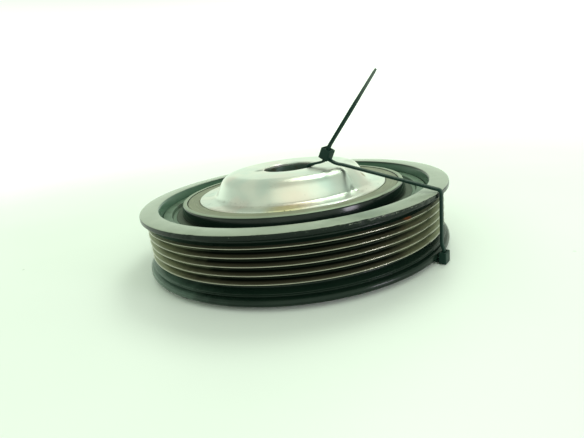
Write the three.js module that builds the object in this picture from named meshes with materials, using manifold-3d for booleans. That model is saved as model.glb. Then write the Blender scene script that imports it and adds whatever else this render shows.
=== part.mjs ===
// Electromagnetic clutch of a car's air-conditioning compressor, held together by two cable ties.
// A grooved belt pulley and its steel rotor turn freely on a ball bearing round the compressor's
// nose. A field coil sits still inside the rotor. A domed hub on the compressor's shaft carries an
// armature on a rubber ring, and the coil pulls that armature back onto the rotor's friction face.
//
// Millimetres, +Z out of the front of the clutch. The exported group's origin is on the shaft's
// axis, at the rear face of the coil's mounting plate. The pieces are drawn inside a second group
// whose z = 0 is the pulley's front face, so their heights below are measured from that face.

import * as THREE from 'three';
import { mergeVertices } from 'three/addons/utils/BufferGeometryUtils.js';
import Module from 'manifold-3d';

const wasm = await Module();
wasm.setup();

// ---- Driving dimensions --------------------------------------------------------------------

const DEPTH = 30.5; // from the mounting plate's rear face to the pulley's front face
const DEG = Math.PI / 180;
const TINY = 0.1; // gap between pieces that are pressed, bonded or welded together

const PULLEY = {
  rim: 76.8, // radius of both flanges
  crest: 74.5, // radius of the ribs' crests
  pitch: 3.56, // distance between neighbouring ribs of the standard automotive belt
  grooves: 6,
  grooveDepth: 2.8,
  grooveFlat: 0.5, // half the width of a groove's flat bottom
  firstGroove: -4.31, // height of the first groove's centre
  bore: 66.7,
  mouth: 68, // radius of the recess at the front face
  rear: -28.6,
};
const ROTOR = {
  outer: 66.5,
  channelOuter: 61.2,
  channelInner: 32.2,
  bore: 27.6,
  lip: 24.9,
  ledge: -4.2, // the rim that shows beside the armature
  face: -5.7, // the friction face
  webBack: -10,
  outerEnd: -26,
  innerEnd: -28.7,
};
const LINING = { inner: 53.2, outer: 60.3, depth: 1.5 };
const BEARING = {
  bore: 17.5,
  outer: 27.5,
  front: -6.9,
  width: 20,
  pitchRadius: 22.5,
  ball: 3.3,
  race: 3.6,
  land: 2.1, // from the pitch circle to each ring's plain wall
  rowOffset: 4.7,
  ballsPerRow: 9,
};
const CIRCLIP = { outer: 28.5, inner: 25.3, top: -27.1, thickness: 1 };
const COIL = {
  inner: 33,
  outer: 60.6,
  wall: 3,
  front: -10.7,
  back: -28.4,
  plateInner: 33,
  plateOuter: 59.5,
  plateTop: -28.5,
};
const GROMMET = { reach: 46, angle: 140.5 * DEG, hole: 3.2, wire: 0.9 };
const HUB = {
  brim: 47.9,
  sheet: 1.5,
  plateau: 10.2,
  opening: 13.4,
  well: 13,
  neck: 15.6,
  neckEnd: -9,
  splineRoot: 7,
  splineTip: 6.2,
  splineTeeth: 22,
};
const NOTCH = { from: -48 * DEG, to: 5 * DEG, edge: 7 * DEG, footOut: 1.3, shoulderIn: 2.8 };
const ARMATURE = { outer: 57.4, shoulder: 1, rim: 54, inner: 30, back: -5.2, floor: -2.6 };
const TIE = { width: 2.6, thickness: 1.1, angle: -40.3 * DEG, slack: 0.3, headHalf: 2.9 };

const SIDES = { large: 40, middle: 32, small: 12, pocket: 8 };

// ---- Materials -----------------------------------------------------------------------------

function finish(color, roughness, metalness) {
  return new THREE.MeshStandardMaterial({ color, roughness, metalness });
}

const BLACK_STEEL = finish(0x2c302b, 0.45, 0.7);
const GREY_STEEL = finish(0x6f726b, 0.5, 0.9);
const ZINC = finish(0xc4c9c6, 0.28, 1);
const BEARING_STEEL = finish(0xb9bcbd, 0.2, 1);
const NYLON = finish(0x14201c, 0.4, 0);
const RUBBER = finish(0x3b3a2e, 0.75, 0);
const COPPER = finish(0x9c4f2a, 0.45, 1);
const BROWN_PLASTIC = finish(0x5a4630, 0.6, 0);
const RESIN = finish(0x1f2a2c, 0.35, 0);
const FRICTION = finish(0x4a4336, 0.9, 0);

// ---- Geometry helpers ----------------------------------------------------------------------

// The geometry with only its corners, each of them once.
function welded(geometry) {
  geometry.deleteAttribute('normal');
  geometry.deleteAttribute('uv');
  return mergeVertices(geometry, 1e-3);
}

// A piece turned about the Z axis, from a loop of [radius, height] corners in either direction.
function turned(corners, sides = SIDES.large) {
  const loop = corners.map(([radius, height]) => new THREE.Vector2(radius, height));
  if (THREE.ShapeUtils.area(loop) < 0) loop.reverse();
  loop.push(loop[0].clone());
  return welded(new THREE.LatheGeometry(loop, sides).rotateX(Math.PI / 2));
}

// A plain ring between two radii and two heights.
function ring(inner, outer, low, high, sides) {
  return turned([[inner, low], [outer, low], [outer, high], [inner, high]], sides);
}

// A flat shape pushed up from one height to another.
function pushed(shape, low, high, curveSegments = 4) {
  const options = { depth: high - low, bevelEnabled: false, curveSegments };
  return welded(new THREE.ExtrudeGeometry(shape, options).translate(0, 0, low));
}

// A box between two corners.
function block(low, high) {
  const size = high.map((value, i) => value - low[i]);
  const middle = high.map((value, i) => (value + low[i]) / 2);
  return welded(new THREE.BoxGeometry(...size).translate(...middle));
}

function solidOf(geometry) {
  const vertProperties = new Float32Array(geometry.getAttribute('position').array);
  const triVerts = new Uint32Array(geometry.index.array);
  return new wasm.Manifold(new wasm.Mesh({ numProp: 3, vertProperties, triVerts }));
}

function geometryOf(solid) {
  const { vertProperties, triVerts } = solid.getMesh();
  const geometry = new THREE.BufferGeometry();
  geometry.setAttribute('position', new THREE.BufferAttribute(vertProperties, 3));
  geometry.setIndex(new THREE.BufferAttribute(triVerts, 1));
  return geometry;
}

function cut(geometry, ...tools) {
  return geometryOf(tools.reduce((rest, tool) => rest.subtract(solidOf(tool)), solidOf(geometry)));
}

function joined(first, ...others) {
  return geometryOf(others.reduce((sum, other) => sum.add(solidOf(other)), solidOf(first)));
}

const clutch = new THREE.Group();
const assembly = new THREE.Group();
assembly.position.z = DEPTH;
clutch.add(assembly);

function piece(name, geometry, material) {
  geometry.computeVertexNormals();
  const mesh = new THREE.Mesh(geometry, material);
  mesh.name = name;
  assembly.add(mesh);
}

// The curved slots that part the magnetic poles of the rotor and the armature.
function poleSlots(radius, width, count, bridge, low, high) {
  const sweep = (2 * Math.PI) / count - bridge;
  return Array.from({ length: count }, (_, i) => {
    const start = (i * 2 * Math.PI) / count + bridge / 2;
    const slot = new THREE.Shape();
    slot.absarc(0, 0, radius + width / 2, start, start + sweep, false);
    slot.absarc(0, 0, radius - width / 2, start + sweep, start, true);
    return pushed(slot, low, high, Math.ceil(24 / count));
  });
}

// ---- Pulley side ---------------------------------------------------------------------------

// The belt face's corners, from the front flange to the last groove's far wall.
function beltFace() {
  const { crest, pitch, grooves, grooveDepth, grooveFlat, firstGroove } = PULLEY;
  const bottom = crest - grooveDepth;
  const corners = [];
  for (let i = 0; i < grooves; i++) {
    const centre = firstGroove - i * pitch;
    corners.push([bottom, centre + grooveFlat], [bottom, centre - grooveFlat]);
    if (i < grooves - 1) corners.push([crest, centre - pitch / 2]);
  }
  return corners;
}

function pulleySheave() {
  const { rim, crest, bore, mouth, rear, firstGroove, pitch, grooves } = PULLEY;
  const lastWall = firstGroove - (grooves - 0.5) * pitch;
  return turned([
    [bore, rear], [bore, -4], [mouth - 0.4, -0.6], [mouth, 0], [rim - 0.5, 0], [rim, -0.5],
    [rim, -2.2], [crest, -2.8], ...beltFace(), [crest, lastWall], [crest + 0.6, lastWall - 0.7],
    [crest - 0.5, lastWall - 1.5], [rim - 0.8, lastWall - 2], [rim, lastWall - 3],
    [rim, rear + 0.8], [rim - 0.7, rear + 0.2], [rim - 2, rear],
  ]);
}

function rotor() {
  const { outer, channelOuter, channelInner, bore, lip, ledge, face, webBack } = ROTOR;
  const { outerEnd, innerEnd } = ROTOR;
  const grooveTop = CIRCLIP.top + TINY;
  const grooveEnd = CIRCLIP.top - CIRCLIP.thickness - TINY;
  const liningFloor = face - LINING.depth - TINY;
  const blank = turned([
    [lip, face], [LINING.inner - TINY, face], [LINING.inner - TINY, liningFloor],
    [LINING.outer + TINY, liningFloor], [LINING.outer + TINY, face], [62, face], [62.4, ledge],
    [outer, ledge], [outer, outerEnd], [channelOuter, outerEnd], [channelOuter, webBack],
    [channelInner, webBack], [channelInner, innerEnd], [bore, innerEnd], [bore, grooveEnd],
    [CIRCLIP.outer + 0.3, grooveEnd], [CIRCLIP.outer + 0.3, grooveTop], [bore, grooveTop],
    [bore, BEARING.front + TINY], [lip, BEARING.front + TINY],
  ]);
  const innerSlots = poleSlots(38, 2.5, 6, 12 * DEG, webBack - 1, face + 1);
  const outerSlots = poleSlots(48.5, 2.5, 6, 10 * DEG, webBack - 1, face + 1);
  return cut(blank, ...innerSlots, ...outerSlots);
}

// ---- Bearing -------------------------------------------------------------------------------

const BEARING_MIDDLE = BEARING.front - BEARING.width / 2;
const ROW_HEIGHTS = [BEARING.rowOffset, -BEARING.rowOffset].map((offset) => BEARING_MIDDLE + offset);

// One bearing ring's raceway wall, from front to rear. side is 1 for the outer ring, -1 inside.
function raceway(side) {
  const { pitchRadius, race, land } = BEARING;
  const reach = Math.acos(land / race);
  const steps = [-1, -0.5, 0, 0.5, 1];
  return ROW_HEIGHTS.flatMap((row) =>
    steps.map((step) => [
      pitchRadius + side * race * Math.cos(step * reach),
      row - race * Math.sin(step * reach),
    ]),
  );
}

function bearingRing(side) {
  const { pitchRadius, land, front, width } = BEARING;
  const plain = side > 0 ? BEARING.outer : BEARING.bore;
  const wall = pitchRadius + side * land;
  const back = front - width;
  return turned([[plain, back], [plain, front], [wall, front], ...raceway(side), [wall, back]], SIDES.middle);
}

// Where each ball of a row sits; the second row is half a step round from the first.
function ballAngle(row, i) {
  return ((i + row / 2) * 2 * Math.PI) / BEARING.ballsPerRow;
}

function ballCage(row) {
  const { pitchRadius, ball, ballsPerRow } = BEARING;
  const height = ROW_HEIGHTS[row];
  const band = ring(pitchRadius - 0.8, pitchRadius + 0.9, height - 4.2, height + 4.2, SIDES.middle);
  const pockets = Array.from({ length: ballsPerRow }, (_, i) =>
    welded(
      new THREE.CylinderGeometry(ball + 0.4, ball + 0.4, 6, SIDES.pocket)
        .rotateZ(Math.PI / 2)
        .translate(pitchRadius, 0, height)
        .rotateZ(ballAngle(row, i)),
    ),
  );
  return cut(band, ...pockets);
}

function addBalls() {
  const { pitchRadius, ball, ballsPerRow } = BEARING;
  for (const row of [0, 1]) {
    for (let i = 0; i < ballsPerRow; i++) {
      const geometry = welded(new THREE.SphereGeometry(ball, 8, 6).rotateX(Math.PI / 2));
      geometry.translate(pitchRadius, 0, ROW_HEIGHTS[row]).rotateZ(ballAngle(row, i));
      piece(`bearing_ball_${'ab'[row]}${i + 1}`, geometry, BEARING_STEEL);
    }
  }
}

function bearingSeal(end) {
  const { pitchRadius, land, width } = BEARING;
  const middle = BEARING_MIDDLE + (end * (width - 1)) / 2;
  return ring(pitchRadius - land + 0.3, pitchRadius + land - TINY, middle - 0.3, middle + 0.3, SIDES.middle);
}

// An open spring ring with an eyed lug at each end.
function circlip() {
  const { outer, inner, top, thickness } = CIRCLIP;
  const gap = 12 * DEG;
  const lug = 9 * DEG;
  const lugDepth = 2.6;
  const shape = new THREE.Shape();
  shape.absarc(0, 0, outer, gap, 2 * Math.PI - gap, false);
  shape.absarc(0, 0, inner - lugDepth, 2 * Math.PI - gap, 2 * Math.PI - gap - lug, true);
  shape.absarc(0, 0, inner, 2 * Math.PI - gap - lug, gap + lug, true);
  shape.absarc(0, 0, inner - lugDepth, gap + lug, gap, true);
  shape.closePath();
  for (const side of [-1, 1]) {
    const angle = side * (gap + lug / 2);
    const eye = new THREE.Path();
    eye.absarc((inner - 0.9) * Math.cos(angle), (inner - 0.9) * Math.sin(angle), 0.8, 0, 2 * Math.PI, false);
    shape.holes.push(eye);
  }
  return pushed(shape, top - thickness, top, 8);
}

// ---- Field coil ----------------------------------------------------------------------------

function atGrommet(geometry) {
  return geometry.translate(GROMMET.reach, 0, 0).rotateZ(GROMMET.angle);
}

function disc(radius, low, high) {
  const turnedUp = new THREE.CylinderGeometry(radius, radius, high - low, SIDES.small).rotateX(Math.PI / 2);
  return welded(turnedUp.translate(0, 0, (low + high) / 2));
}

function coilHousing() {
  const { inner, outer, wall, front, back } = COIL;
  const floor = back + wall;
  const shell = turned([
    [inner, back], [outer, back], [outer, front], [outer - wall, front], [outer - wall, floor],
    [inner + wall, floor], [inner + wall, front], [inner, front],
  ]);
  return cut(shell, atGrommet(disc(GROMMET.hole, back - 1, floor + 1)));
}

function coilBobbin() {
  const low = COIL.back + COIL.wall + 0.3;
  const high = COIL.front - 1.7;
  const inner = COIL.inner + COIL.wall + 0.3;
  const outer = COIL.outer - COIL.wall - 0.3;
  const spool = turned([
    [inner, low], [outer, low], [outer, low + 1.4], [inner + 1.4, low + 1.4],
    [inner + 1.4, high - 1.4], [outer, high - 1.4], [outer, high], [inner, high],
  ], SIDES.middle);
  return cut(spool, atGrommet(disc(GROMMET.hole, low - 1, low + 2)));
}

function coilWinding() {
  const inner = COIL.inner + COIL.wall + 2;
  return ring(inner, COIL.outer - COIL.wall - 1.2, COIL.back + COIL.wall + 2, COIL.front - 3.4, SIDES.middle);
}

function coilResin() {
  const inner = COIL.inner + COIL.wall + 0.3;
  return ring(inner, COIL.outer - COIL.wall - 0.3, COIL.front - 1.5, COIL.front - 0.2, SIDES.middle);
}

// The mounting plate has a relief for the lead and one for the strap, each cut from bore to edge.
function coilPlate() {
  const { plateInner, plateOuter, plateTop } = COIL;
  const plate = ring(plateInner, plateOuter, -DEPTH, plateTop);
  const relief = (angle, half) =>
    block([plateInner - 3, -half, -DEPTH - 1], [plateOuter + 3, half, plateTop + 1]).rotateZ(angle);
  const locating = disc(2.6, -DEPTH - 1, plateTop + 1).translate(0, 52, 0);
  return cut(plate, relief(TIE.angle, 4), locating, leadRelief());
}

function leadRelief() {
  const { plateOuter, plateTop } = COIL;
  const low = [GROMMET.reach - 7, -5.5, -DEPTH - 1];
  return block(low, [plateOuter + 3, 5.5, plateTop + 1]).rotateZ(GROMMET.angle);
}

// The rubber plug that the coil's two wires leave through. The wires themselves aren't modelled.
function leadGrommet() {
  const { hole, wire } = GROMMET;
  const flange = disc(hole + 1.4, -DEPTH + 0.9, COIL.back - TINY);
  const plug = disc(hole - TINY, COIL.back - 0.5, COIL.back + COIL.wall);
  const wires = [-1.5, 1.5].map((y) => disc(wire, -DEPTH, COIL.front).translate(0, y, 0));
  return atGrommet(cut(joined(flange, plug), ...wires));
}

// ---- Hub side ------------------------------------------------------------------------------

// 1 inside the dome's pressed notch, 0 outside it, and a ramp at each end.
function notchDepth(angle) {
  const inFrom = THREE.MathUtils.smoothstep(angle, NOTCH.from, NOTCH.from + NOTCH.edge);
  return inFrom * (1 - THREE.MathUtils.smoothstep(angle, NOTCH.to - NOTCH.edge, NOTCH.to));
}

// Lays the dome's wall over inside the notch: its foot moves out and its shoulder moves in.
function pressNotch(geometry) {
  const place = geometry.getAttribute('position');
  for (let i = 0; i < place.count; i++) {
    const radius = Math.hypot(place.getX(i), place.getY(i));
    const height = place.getZ(i);
    if (radius < 28 || radius > 42) continue;
    const rise = THREE.MathUtils.clamp(height / HUB.plateau, 0, 1);
    const shift = THREE.MathUtils.lerp(NOTCH.footOut, -NOTCH.shoulderIn, rise);
    const depth = notchDepth(Math.atan2(place.getY(i), place.getX(i)));
    const scale = (radius + depth * shift) / radius;
    place.setXY(i, place.getX(i) * scale, place.getY(i) * scale);
  }
  return geometry;
}

function hubDome() {
  const { brim, sheet, plateau, opening } = HUB;
  return pressNotch(turned([
    [brim - 0.5, 0], [brim, -0.45], [brim - 0.3, -sheet], [40.6, -sheet], [37.6, -0.5],
    [34.3, 7.2], [31, plateau - sheet - 0.1], [opening, plateau - sheet - 0.1],
    [opening, plateau - 0.2], [opening + 0.5, plateau],
    [31.5, plateau], [33.4, plateau - 0.5], [35.2, plateau - 1.9], [36, 7.2], [38.4, 1.7],
    [39.3, 0.6], [41, 0],
  ]));
}

// The splined bore's outline.
function splineShape() {
  const { splineRoot, splineTip, splineTeeth } = HUB;
  const step = (2 * Math.PI) / splineTeeth;
  const points = [];
  for (let i = 0; i < splineTeeth; i++) {
    for (const [part, radius] of [[0.05, splineRoot], [0.4, splineRoot], [0.55, splineTip], [0.9, splineTip]]) {
      const angle = (i + part) * step;
      points.push(new THREE.Vector2(radius * Math.cos(angle), radius * Math.sin(angle)));
    }
  }
  return new THREE.Shape(points);
}

function hubBoss() {
  const { plateau, sheet, well, neck, neckEnd } = HUB;
  const top = plateau - sheet - 0.1 - TINY;
  const wellFloor = -1.5;
  const pilot = 5;
  const blank = turned([
    [well, wellFloor], [well, top], [20, top], [20, top - 2.6], [neck, top - 3.6],
    [neck, neckEnd + 0.6], [neck - 0.6, neckEnd], [pilot, neckEnd], [pilot, wellFloor],
  ], SIDES.middle);
  return cut(blank, pushed(splineShape(), neckEnd - 1, wellFloor + 1));
}

function armaturePlate() {
  const { outer, shoulder, rim, inner, back, floor } = ARMATURE;
  const blank = turned([
    [inner, back], [outer, back], [outer, -shoulder], [outer - 0.3 * shoulder, -0.3 * shoulder],
    [outer - shoulder, 0], [rim, 0], [rim, floor], [inner, floor],
  ]);
  return cut(blank, ...poleSlots(43.2, 2.5, 3, 20 * DEG, back - 1, floor + 1));
}

function damperRing() {
  const low = ARMATURE.floor + TINY;
  const underBrim = -HUB.sheet - TINY;
  return turned([
    [41.6, low], [ARMATURE.rim - TINY, low], [ARMATURE.rim - TINY, -0.5], [51, -0.8],
    [HUB.brim + 0.3, -0.6], [HUB.brim + 0.3, underBrim], [41.6, underBrim],
  ]);
}

// ---- Cable ties ----------------------------------------------------------------------------

// A strap lies in the half-plane at TIE.angle, along waypoints of [reach, height, bend].
// bend is how far from a waypoint its rounded corner starts.
function strap(waypoints) {
  const route = new THREE.Path();
  route.moveTo(waypoints[0][0], waypoints[0][1]);
  waypoints.slice(1, -1).forEach(([x, y, bend], i) => {
    const corner = new THREE.Vector2(x, y);
    const before = new THREE.Vector2(...waypoints[i]).sub(corner).setLength(bend).add(corner);
    const after = new THREE.Vector2(...waypoints[i + 2]).sub(corner).setLength(bend).add(corner);
    route.lineTo(before.x, before.y);
    route.quadraticCurveTo(x, y, after.x, after.y);
  });
  route.lineTo(waypoints.at(-1)[0], waypoints.at(-1)[1]);
  return ribbon(route.getPoints(4));
}

// A flat strip of the strap's section along a line of points.
function ribbon(line) {
  const half = TIE.thickness / 2;
  const sides = [1, -1].map((side) =>
    line.map((point, i) => {
      const ahead = line[Math.min(i + 1, line.length - 1)];
      const behind = line[Math.max(i - 1, 0)];
      const normal = new THREE.Vector2(behind.y - ahead.y, ahead.x - behind.x).normalize();
      return point.clone().addScaledVector(normal, side * half);
    }),
  );
  const outline = new THREE.Shape([...sides[0], ...sides[1].reverse()]);
  return pushed(outline, -TIE.width / 2, TIE.width / 2).rotateX(Math.PI / 2);
}

// A tie's head standing at the origin, with the slot that the other tie's strap runs through.
function tieHead(low, high) {
  const { headHalf, width, thickness, slack } = TIE;
  const slotAcross = width / 2 + slack;
  const slotDeep = thickness / 2 + slack;
  const body = block([low[0], -headHalf, low[1]], [high[0], headHalf, high[1]]);
  return cut(body, block([-slotDeep, -slotAcross, low[1] - 1], [slotDeep, slotAcross, high[1] + 1]));
}

// The upper head leans out with the strap that comes up through it.
const HEAD_A = { reach: 23.9, height: 16.4, tilt: 28 * DEG, half: 2.7 };
const HEAD_B = { reach: 78.6, inner: 77.1, outer: 80.1, low: -30.3, high: -25.3 };
const UNDERSIDE = -DEPTH + 0.3 + TIE.thickness / 2;
const BORE_REACH = 4.7; // where the strap hangs in the bore
const SIDE_REACH = PULLEY.rim + 0.3 + TIE.thickness / 2;

// A point of the upper head, so far out along its tilted base and so far up through its slot.
function inHeadA(out, up) {
  const { reach, height, tilt } = HEAD_A;
  const along = new THREE.Vector2(out, up).rotateAround(new THREE.Vector2(), -tilt);
  return [reach + along.x, height + along.y];
}

// The tie whose head hangs beside the rear flange: under the pulley, up through the bore, through
// the head on the dome, and on as a free tail.
function lowerTie() {
  const { reach, inner, outer, low, high } = HEAD_B;
  const head = tieHead([inner - reach, low], [outer - reach, high]).translate(reach, 0, 0);
  const route = strap([
    [inner + 0.4, UNDERSIDE], [BORE_REACH, UNDERSIDE, 3.5], [BORE_REACH, 0.6, 2.5],
    [12.6, 11.1, 1.2], [...inHeadA(0, -4.25), 1.2], [...inHeadA(0, 4.25), 1.4], [52, 50.6],
  ]);
  return joined(route, head).rotateZ(TIE.angle);
}

// The tie whose head is on the dome: over the front, down the belt face and through the other
// head.
function upperTie() {
  const { reach, height, tilt, half } = HEAD_A;
  const head = tieHead([-TIE.headHalf, -half], [TIE.headHalf, half]);
  head.rotateY(tilt).translate(reach, 0, height);
  const route = strap([
    inHeadA(2.2, -2), [28.6, 11.7, 1.5], [32.5, 11.1, 1.5], [SIDE_REACH, 0.9, 1.5],
    [SIDE_REACH, -22, 1], [HEAD_B.reach, -24.8, 1], [HEAD_B.reach, HEAD_B.low + 0.2],
  ]);
  return joined(route, head).rotateZ(TIE.angle);
}

// ---- The assembly --------------------------------------------------------------------------

piece('pulley_sheave', pulleySheave(), BLACK_STEEL);
piece('rotor', rotor(), GREY_STEEL);
piece('friction_lining', ring(LINING.inner, LINING.outer, ROTOR.face - LINING.depth, ROTOR.face - 0.02), FRICTION);

piece('bearing_outer_ring', bearingRing(1), BEARING_STEEL);
piece('bearing_inner_ring', bearingRing(-1), BEARING_STEEL);
piece('bearing_cage_front', ballCage(0), BROWN_PLASTIC);
piece('bearing_cage_rear', ballCage(1), BROWN_PLASTIC);
piece('bearing_seal_front', bearingSeal(1), RESIN);
piece('bearing_seal_rear', bearingSeal(-1), RESIN);
piece('bearing_circlip', circlip(), GREY_STEEL);
addBalls();

piece('coil_housing', coilHousing(), GREY_STEEL);
piece('coil_bobbin', coilBobbin(), BROWN_PLASTIC);
piece('coil_winding', coilWinding(), COPPER);
piece('coil_resin', coilResin(), RESIN);
piece('coil_mounting_plate', coilPlate(), GREY_STEEL);
piece('coil_lead_grommet', leadGrommet(), RUBBER);

piece('hub_dome', hubDome(), ZINC);
piece('hub_boss', hubBoss(), GREY_STEEL);
piece('damper_ring', damperRing(), RUBBER);
piece('armature_plate', armaturePlate(), BLACK_STEEL);

piece('cable_tie_lower', lowerTie(), NYLON);
piece('cable_tie_upper', upperTie(), NYLON);

export default clutch;
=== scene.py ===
"""Looks for an electromagnetic clutch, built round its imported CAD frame.

Lengths below are millimetres until a mesh is made. Heights are measured from the pulley's front
face, which is at FRONT above the floor, and angles are counterclockwise from +X.
"""

import math

import bmesh
import bpy
import numpy as np
from mathutils import Matrix, Vector


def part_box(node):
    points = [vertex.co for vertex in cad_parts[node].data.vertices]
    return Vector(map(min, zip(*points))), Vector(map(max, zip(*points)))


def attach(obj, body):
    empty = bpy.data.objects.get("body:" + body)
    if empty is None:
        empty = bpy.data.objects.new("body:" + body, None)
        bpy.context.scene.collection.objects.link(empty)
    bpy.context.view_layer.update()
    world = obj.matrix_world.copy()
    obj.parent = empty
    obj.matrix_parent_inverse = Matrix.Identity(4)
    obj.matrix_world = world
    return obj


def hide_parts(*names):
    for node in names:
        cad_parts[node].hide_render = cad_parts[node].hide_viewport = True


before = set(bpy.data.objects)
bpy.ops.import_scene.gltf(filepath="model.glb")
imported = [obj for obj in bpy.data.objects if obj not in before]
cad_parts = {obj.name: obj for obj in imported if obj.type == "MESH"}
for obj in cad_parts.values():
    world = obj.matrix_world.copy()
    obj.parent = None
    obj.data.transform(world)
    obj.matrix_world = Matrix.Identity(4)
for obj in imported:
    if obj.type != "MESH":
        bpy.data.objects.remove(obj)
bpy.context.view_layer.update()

MM = 0.001
TURN = 2 * math.pi
DEG = math.pi / 180


def top_of(node):
    """The height of a CAD node's top, in mm above the floor."""
    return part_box(node)[1].z / MM


def reach_of(node):
    """A round CAD node's outer radius, in mm."""
    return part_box(node)[1].x / MM


FRONT = top_of("pulley_sheave")
RIM = reach_of("pulley_sheave") - 0.02
PLATEAU = top_of("hub_dome") - FRONT
BRIM = reach_of("hub_dome")
ARMATURE = reach_of("armature_plate")

# ---- Mesh helpers ----------------------------------------------------------------------------


def add_object(name, mesh):
    obj = bpy.data.objects.new(name, mesh)
    bpy.context.scene.collection.objects.link(obj)
    return obj


def add_mesh(name, vertices, faces, sharp=40):
    """A smooth-shaded object from vertices in mm; edges over sharp degrees stay sharp."""
    mesh = bpy.data.meshes.new(name)
    mesh.from_pydata((np.asarray(vertices) * MM).tolist(), [], faces)
    soften(mesh, sharp)
    return add_object(name, mesh)


def soften(mesh, sharp=40):
    mesh.shade_smooth()
    mesh.set_sharp_from_angle(angle=sharp * DEG)


def rounded(corners, steps=4):
    """The closed outline through corners of (radius, height, rounding)."""
    points = []
    for i, (radius, height, size) in enumerate(corners):
        here = np.array((radius, height), float)
        if not size:
            points.append(here)
            continue
        ends = []
        for other in (corners[i - 1], corners[(i + 1) % len(corners)]):
            way = np.array(other[:2], float) - here
            length = np.linalg.norm(way)
            ends.append(here + way / length * min(size, 0.45 * length))
        for t in np.linspace(0, 1, steps + 1):
            points.append((1 - t) ** 2 * ends[0] + 2 * t * (1 - t) * here + t * t * ends[1])
    return np.array(points)


def grid_faces(rows, columns, closed_rows=True, closed_columns=True):
    """Quads over a grid of vertices, row by row, joined end to end where it is closed."""
    row = np.arange(rows if closed_rows else rows - 1)[:, None]
    column = np.arange(columns if closed_columns else columns - 1)[None, :]
    next_row = (row + 1) % rows
    next_column = (column + 1) % columns
    quads = [row * columns + column, next_row * columns + column,
             next_row * columns + next_column, row * columns + next_column]
    return np.stack([np.broadcast_to(q, (row.size, column.size)) for q in quads], -1).reshape(-1, 4).tolist()


def revolve(name, outline, segments=192, press=None, sharp=40):
    """A closed outline of (radius, height) turned about the Z axis.

    press(radius, height, angle) may move the points first.
    """
    outline = np.asarray(outline, float)
    ahead = np.roll(outline, -1, axis=0)
    if np.sum(outline[:, 0] * ahead[:, 1] - ahead[:, 0] * outline[:, 1]) < 0:
        outline = outline[::-1]
    angle = np.linspace(0, TURN, segments, endpoint=False)[:, None]
    radius = np.repeat(outline[None, :, 0], segments, 0)
    height = np.repeat(outline[None, :, 1], segments, 0)
    if press:
        radius, height = press(radius, height, angle)
    places = [radius * np.cos(angle), radius * np.sin(angle), height + FRONT]
    vertices = np.stack(places, -1).reshape(-1, 3)
    return add_mesh(name, vertices, grid_faces(segments, len(outline)), sharp)


def baked(obj, sharp=40):
    """Applies obj's modifiers, or turns a curve into a mesh, and returns the object."""
    bpy.context.view_layer.update()
    mesh = bpy.data.meshes.new_from_object(obj.evaluated_get(bpy.context.evaluated_depsgraph_get()))
    name = obj.name
    old = obj.data
    bpy.data.objects.remove(obj)
    if old.users == 0 and isinstance(old, bpy.types.Mesh):
        bpy.data.meshes.remove(old)
    mesh.name = name
    soften(mesh, sharp)
    return add_object(name, mesh)


def combine(obj, others, operation="DIFFERENCE"):
    """Cuts the others out of obj, or joins them to it, for good."""
    for other in others:
        modifier = obj.modifiers.new("combine", "BOOLEAN")
        modifier.operation = operation
        modifier.solver = "EXACT"
        modifier.object = other
    result = baked(obj)
    for other in others:
        bpy.data.objects.remove(other)
    return result


def slab(name, outlines, low, high, bevel=0.15):
    """A flat plate from closed outlines of (x, y); an outline inside another is a hole."""
    curve = bpy.data.curves.new(name, "CURVE")
    curve.dimensions = "2D"
    curve.fill_mode = "BOTH"
    curve.extrude = ((high - low) / 2 - bevel) * MM
    curve.bevel_depth = bevel * MM
    curve.bevel_resolution = 2
    curve.offset = -bevel * MM
    for outline in outlines:
        spline = curve.splines.new("POLY")
        spline.points.add(len(outline) - 1)
        flat = [value for x, y in outline for value in (x * MM, y * MM, 0, 1)]
        spline.points.foreach_set("co", flat)
        spline.use_cyclic_u = True
    obj = baked(add_object(name, curve))
    obj.data.transform(Matrix.Translation((0, 0, (FRONT + (low + high) / 2) * MM)))
    weld = bmesh.new()
    weld.from_mesh(obj.data)
    bmesh.ops.remove_doubles(weld, verts=weld.verts, dist=0.002 * MM)
    bmesh.ops.recalc_face_normals(weld, faces=weld.faces)
    weld.to_mesh(obj.data)
    weld.free()
    soften(obj.data)
    return obj


def arc(radius, start, end, steps):
    angles = np.linspace(start, end, steps)
    return [(radius * math.cos(a), radius * math.sin(a)) for a in angles]


def moved(obj, reach, angle):
    """obj, made about the Z axis, moved out by reach and round by angle."""
    obj.data.transform(Matrix.Rotation(angle, 4, "Z") @ Matrix.Translation((reach * MM, 0, 0)))
    return obj


def smooth_step(value, low, high):
    t = np.clip((value - low) / (high - low), 0, 1)
    return t * t * (3 - 2 * t)


def ripple(angle, seed, waves=(3, 5, 8, 13)):
    """A smooth seeded wobble round a ring, between about -1 and 1."""
    random = np.random.default_rng(seed)
    total = sum(np.sin(n * angle + random.uniform(0, TURN)) / n**0.5 for n in waves)
    return total / sum(1 / n**0.5 for n in waves)


# ---- Shader helpers --------------------------------------------------------------------------


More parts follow.
